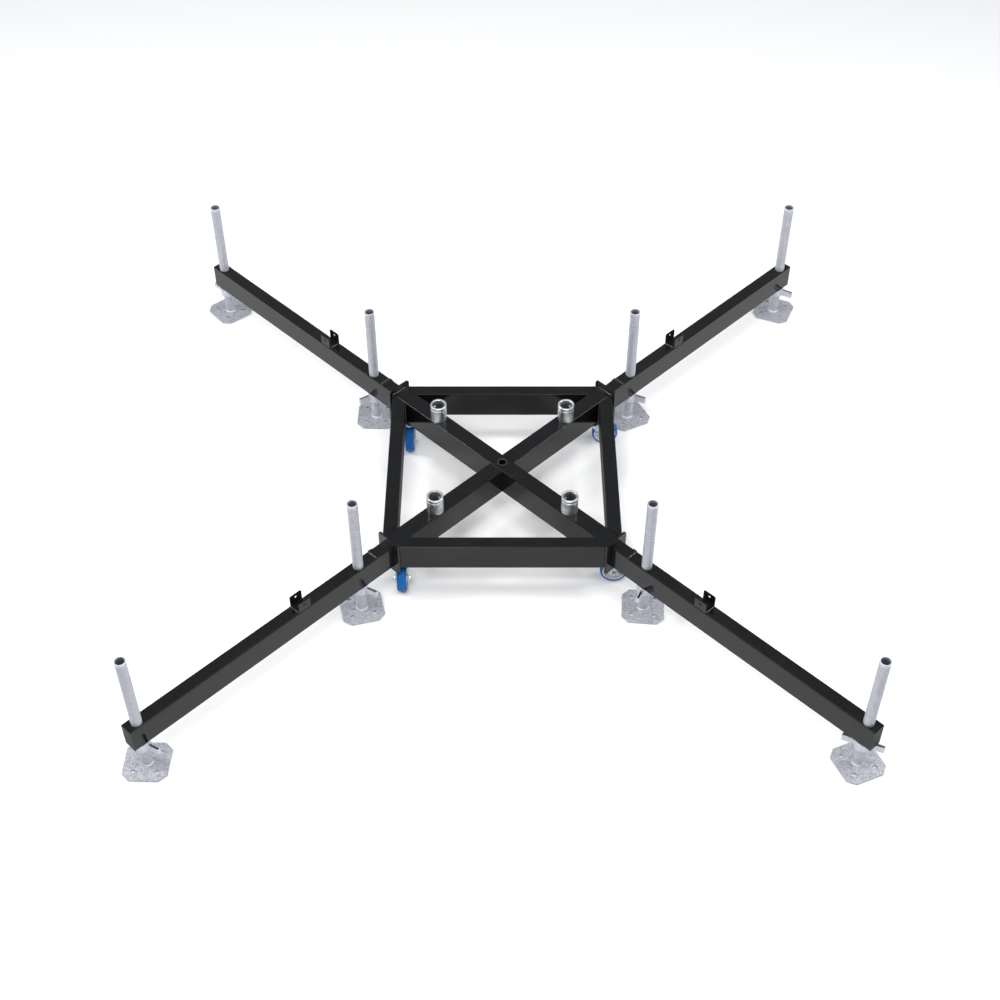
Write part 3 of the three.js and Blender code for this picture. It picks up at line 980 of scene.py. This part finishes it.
def make_nut():
    foot, top = (corner.z for corner in box_of("jack_nut_outer_back_right"))
    collar = turned("jack_nut", [
        (NUT_BORE, foot + 0.001),
        (NUT_BORE + 0.001, foot),
        (NUT_RADIUS - 0.003, foot),
        (NUT_RADIUS - 0.001, foot + 0.002),
        (NUT_RADIUS - 0.0004, top - 0.006),
        (NUT_RADIUS, top - 0.005),
        (NUT_RADIUS, top - 0.001),
        (NUT_RADIUS - 0.001, top),
        (NUT_BORE + 0.001, top),
        (NUT_BORE, top - 0.001),
        (NUT_BORE, foot + 0.001),
    ], 48)
    reach, side = HANDLE_SPAN / 2, LUG_THICKNESS / 2
    lug_foot = foot + (top - foot - LUG_HEIGHT) / 2
    lug_top = lug_foot + LUG_HEIGHT
    lugs = block("lugs", (-reach, -side, lug_foot), (reach, side, lug_top))
    round_edges(lugs, runs_along(1), LUG_CORNER, 4)
    slot = side - LUG_WALL
    for way in (-1, 1):
        start, end = sorted((way * (NUT_RADIUS + 0.001), way * (reach - LUG_WALL)))
        drill(lugs, block("cutter", (start, -slot, lug_foot + LUG_WALL), (end, slot, top)))
    drill_down(lugs, 2 * NUT_BORE + 0.002, 0, 0, foot, top)
    fuse(collar, lugs)
    soften(collar, 0.0007, 2, 50)

    # Painted shade: the inside of the lug slots is coloured nearly black.
    def in_slot(point):
        inside = abs(point.y) < slot + 0.0002 and point.xy.length > NUT_RADIUS
        return 0.92 if inside and point.z < lug_top - 0.002 else 0

    store_painted_shade(collar, in_slot)
    return collar


put_on_jacks(make_nut(), "cast_nut_", HANDLE_TURNS, GALVANISED_TUBE, "nut_", "jack_nut_")


# ---------------------------------------------------------------------------
# Castor top plates. Pressed and zinc plated, one under each corner of the
# frame, and held up to it by four hexagon bolts with washers.

CASTOR_PLATE_SIDE = 0.076
CASTOR_PLATE_CORNER = 0.008
CASTOR_HOLES = 0.056
BOLT_ACROSS = 0.013
ZINC_BRIGHT = (0.64, 0.655, 0.67)
ZINC_BLUE = (0.44, 0.46, 0.49)
castor_plate_low, castor_plate_high = (corner.z for corner in box_of("castor_plate_back_right"))
joints = {joint["name"]: joint for joint in frame["joints"]}


def place_of(joint):
    """Where a CAD joint sits at rest."""
    return Vector(joints[joint]["pos_m"])


def plated_zinc():
    material, tree, shader, place = new_material("bright_zinc_plate", Metallic=1.0)
    tone = ramp(tree, noise(tree, place, 60, 4), (0.3, ZINC_BLUE), (0.65, ZINC_BRIGHT))
    scratch = noise(tree, stretched(tree, place, 40, 900, 300), 1, 2)
    gloss = ramp(tree, scratch, (0.3, grey(0.32)), (0.7, grey(0.5)))
    surface(tree, shader, tone, gloss, scratch, 0.12, 0.0001)
    return material


ZINC_PLATE = plated_zinc()


def hexagon(name, across, low, high):
    """A hexagon head or nut along Z with its corners chamfered."""
    made = round_bar(name, across / math.cos(math.pi / 6), (0, 0, low), (0, 0, high), 6)
    soften(made, 0.0006, 2, 50)
    return made


def washer(name, bore, outside, low, high):
    made = turned(name, [
        (bore, low), (outside, low), (outside, high), (bore, high), (bore, low),
    ], 32)
    soften(made, 0.0002, 2, 50)
    return made


def make_castor_plate():
    half = CASTOR_PLATE_SIDE / 2
    plate = block(
        "castor_plate", (-half, -half, castor_plate_low), (half, half, castor_plate_high)
    )
    round_edges(plate, runs_along(2), CASTOR_PLATE_CORNER, 5)
    soften(plate, 0.0007)
    return plate


def make_castor_bolts():
    bolts = []
    low, out = castor_plate_low, CASTOR_HOLES / 2
    for x in (-out, out):
        for y in (-out, out):
            head = hexagon("castor_bolt", BOLT_ACROSS, low - 0.0068, low - 0.0012)
            pad = washer("castor_washer", 0.003, 0.0078, low - 0.0013, low + 0.0002)
            bolts.append(settle(join("castor_bolt", [head, pad]), at=(x, y, 0)))
    return join("castor_bolts", bolts)


castor_plate, castor_bolts = make_castor_plate(), make_castor_bolts()
for corner, angle in CORNERS.items():
    spot = place_of("castor_swivel_" + corner) * Vector((1, 1, 0))
    plate = copy_of(castor_plate, "pressed_castor_plate_" + corner)
    bolts = copy_of(castor_bolts, "castor_bolts_" + corner)
    for made in (plate, bolts):
        settle(made, math.radians(angle), spot)
    dress(plate, ZINC_PLATE, "base_frame", "zinc_plated_steel", "castor_plate_" + corner)
    dress(bolts, ZINC_PLATE, "base_frame", "zinc_plated_steel")
bpy.data.objects.remove(castor_plate)
bpy.data.objects.remove(castor_bolts)


# ---------------------------------------------------------------------------
# Castor forks. Pressed from 3 mm strip: a crown bent down at both sides, with
# the ball race of the swivel on top, and two legs that sweep back to the axle.

FORK_WALL = 0.003
FORK_BEND = 0.0028
LEG_INSIDE = 0.020
LEG_TOP = 0.050
LEG_FOOT = 0.024
HEAD_RADIUS = 0.031
HEAD_HEIGHT = 0.011
AXLE_HOLE = 0.011
fork_half = LEG_INSIDE + FORK_WALL
fork_top = box_of("castor_fork_back_right")[1].z
crown_top = fork_top - HEAD_HEIGHT
wheel_centre = place_of("wheel_spin_back_right")
axle_height = wheel_centre.z
trail = (wheel_centre - place_of("castor_swivel_back_right")).xy.length


def make_leg(low):
    """One leg, tapered by two cuts from the crown to the round foot at the axle."""
    high, middle = low + FORK_WALL, low + FORK_WALL / 2
    front, back = -LEG_TOP / 2, LEG_TOP / 2 + LEG_FOOT / 2
    drop = axle_height - crown_top
    leg = block("leg", (front, low, axle_height), (trail + LEG_FOOT / 2, high, crown_top))
    slope = Vector((trail - LEG_FOOT / 2 - front, 0, drop)).normalized()
    slice_off(leg, (front, middle, crown_top), (slope.z, 0, -slope.x))
    slope = Vector((trail - LEG_TOP / 2, 0, drop)).normalized()
    slice_off(leg, (back, middle, crown_top), (-slope.z, 0, slope.x))
    foot = round_bar("foot", LEG_FOOT, (trail, low, axle_height), (trail, high, axle_height), 40)
    fuse(leg, foot)
    return leg


def make_fork():
    crown = block(
        "fork_crown", (-LEG_TOP / 2, -fork_half, crown_top - FORK_WALL),
        (LEG_TOP / 2 + LEG_FOOT / 2, fork_half, crown_top),
    )
    fuse(crown, *[make_leg(low) for low in (-fork_half, LEG_INSIDE)])

    def is_shoulder(start, end):
        at_top = min(start.z, end.z) > crown_top - 0.0001
        return runs_along(0)(start, end) and at_top and abs(start.y) > fork_half - 0.0001

    round_edges(crown, is_shoulder, FORK_BEND, 4)
    drill_across(crown, AXLE_HOLE, trail, 0.05, axle_height, 24)
    soften(crown, 0.0006, 2, 50)
    return crown


def make_swivel_head():
    waist, lip = HEAD_RADIUS - 0.004, HEAD_RADIUS - 0.001
    return turned("swivel_head", [
        (0, crown_top - 0.001),
        (waist, crown_top - 0.001),
        (lip, crown_top + 0.001),
        (lip, crown_top + 0.0035),
        (waist, crown_top + 0.0046),
        (waist, crown_top + 0.0058),
        (HEAD_RADIUS, crown_top + 0.0066),
        (HEAD_RADIUS, fork_top - 0.0015),
        (HEAD_RADIUS - 0.0015, fork_top),
        (0, fork_top),
    ], 48)


def put_on_castors(piece, name, material, body, slot, *nodes):
    """Copies a piece to each castor, turned the way that castor trails."""
    for corner in CORNERS:
        swivel = place_of("castor_swivel_" + corner)
        lead = place_of("wheel_spin_" + corner) - swivel
        made = copy_of(piece, name + corner)
        settle(made, math.atan2(lead.y, lead.x), (swivel.x, swivel.y, 0))
        dress(made, material, body + corner, slot, *(node + corner for node in nodes))
    bpy.data.objects.remove(piece)


put_on_castors(
    make_fork(), "pressed_fork_", ZINC_PLATE, "castor_", "zinc_plated_steel", "castor_fork_"
)
put_on_castors(make_swivel_head(), "swivel_head_", ZINC_PLATE, "castor_", "zinc_plated_steel")


# ---------------------------------------------------------------------------
# Castor axles. A hexagon bolt through both legs, with a washer under the head
# and under the self-locking nut.

AXLE_DIAMETER = 0.010
AXLE_ACROSS = 0.015


def along_axle(obj):
    """Turns round work from Z onto the axle and carries it to the axle's place."""
    obj.rotation_euler = (math.pi / 2, 0, 0)
    return settle(obj, at=(trail, 0, axle_height))


def make_axle():
    face, radius = fork_half, AXLE_DIAMETER / 2
    shank = round_bar("axle", AXLE_DIAMETER, (0, 0, -face - 0.001), (0, 0, face + 0.0086), 32)
    head = hexagon("head", AXLE_ACROSS, -face - 0.0073, -face - 0.0012)
    nut = hexagon("nut", AXLE_ACROSS, face + 0.0012, face + 0.0068)
    collar = turned("collar", [
        (radius, face + 0.0066), (0.0066, face + 0.0066), (0.0061, face + 0.0078),
        (radius, face + 0.0080), (radius, face + 0.0066),
    ], 32)
    washers = [
        washer("washer", 0.0052, 0.0085, low, low + 0.0011)
        for low in (-face - 0.0012, face + 0.0001)
    ]
    return along_axle(join("castor_axle", [shank, head, nut, collar, *washers]))


put_on_castors(
    make_axle(), "axle_bolt_", ZINC_PLATE, "castor_", "zinc_plated_steel", "castor_axle_"
)


# ---------------------------------------------------------------------------
# Wheel hubs. Moulded pale grey nylon: a rim, a thin web with ribs on both
# faces, and a long boss that holds the roller cage.

WHEEL_RADIUS = 0.050
TYRE_THICKNESS = 0.007
HUB_WIDTH = 0.030
HUB_RIM = WHEEL_RADIUS - TYRE_THICKNESS
HALF_WEB = 0.004
HALF_BOSS = 0.0185
BOSS_RADIUS = 0.0135
RIBS = 8
NYLON_PALE = (0.76, 0.775, 0.79)
NYLON_SHADE = (0.64, 0.655, 0.67)


def moulded_nylon():
    material, tree, shader, place = new_material("pale_grey_nylon")
    cloud = noise(tree, place, 70, 3)
    tone = ramp(tree, cloud, (0.35, NYLON_SHADE), (0.65, NYLON_PALE))
    gloss = ramp(tree, cloud, (0.3, grey(0.38)), (0.7, grey(0.55)))
    surface(tree, shader, tone, gloss, noise(tree, place, 1600, 1), 0.2, 0.00008)
    return material


def make_hub():
    half = HUB_WIDTH / 2
    side = [
        (0.0056, HALF_BOSS - 0.0006),
        (0.0062, HALF_BOSS),
        (BOSS_RADIUS - 0.0007, HALF_BOSS),
        (BOSS_RADIUS, HALF_BOSS - 0.0007),
        (BOSS_RADIUS + 0.001, HALF_WEB + 0.0015),
        (0.017, HALF_WEB),
        (HUB_RIM - 0.008, HALF_WEB),
        (HUB_RIM - 0.0055, HALF_WEB + 0.0015),
        (HUB_RIM - 0.0045, half - 0.0008),
        (HUB_RIM - 0.0037, half),
        (HUB_RIM - 0.0006, half),
        (HUB_RIM, half - 0.0006),
    ]
    other = [(radius, -height) for radius, height in reversed(side)]
    pieces = [turned("moulded_hub", [*side, *other, side[0]], 64)]
    for spoke in range(RIBS):
        rib = block("rib", (BOSS_RADIUS, -0.0014, -0.0125), (HUB_RIM - 0.0048, 0.0014, 0.0125))
        soften(rib, 0.0006)
        pieces.append(settle(rib, spoke * 2 * math.pi / RIBS))
    return along_axle(join("moulded_hub", pieces))


put_on_castors(
    make_hub(), "moulded_hub_", moulded_nylon(), "wheel_", "hub_plastic", "wheel_hub_"
)


# ---------------------------------------------------------------------------
# Tyres. Blue elastic rubber moulded on to the hub, with rounded shoulders, a
# slightly crowned tread, and a fine parting line round the middle.

WHEEL_WIDTH = 0.034
RUBBER_BLUE = (0.002, 0.105, 0.36)
RUBBER_WORN = (0.005, 0.132, 0.41)


def elastic_rubber():
    material, tree, shader, place = new_material("blue_elastic_rubber", Specular_IOR_Level=0.22)
    cloud = noise(tree, place, 55, 5, 0.7)
    tone = ramp(tree, cloud, (0.4, RUBBER_BLUE), (0.7, RUBBER_WORN))
    gloss = ramp(tree, cloud, (0.3, grey(0.5)), (0.7, grey(0.7)))
    surface(tree, shader, tone, gloss, noise(tree, place, 1200, 2), 0.3, 0.0001)
    return material


def make_tyre():
    half, crown = WHEEL_WIDTH / 2, WHEEL_RADIUS
    side = [
        (HUB_RIM + 0.0001, half - 0.001),
        (crown - 0.0075, half - 0.0006),
        (crown - 0.0062, half),
        (crown - 0.0045, half - 0.0002),
        (crown - 0.0027, half - 0.0011),
        (crown - 0.0013, half - 0.0028),
        (crown - 0.0005, half - 0.0055),
        (crown - 0.0001, 0.004),
        (crown, 0.0006),
        (crown - 0.0003, 0),
    ]
    other = [(radius, -height) for radius, height in reversed(side[:-1])]
    return along_axle(turned("moulded_tyre", [*side, *other, side[0]], 96))


put_on_castors(make_tyre(), "moulded_tyre_", elastic_rubber(), "wheel_", "tyre_rubber", "tyre_")
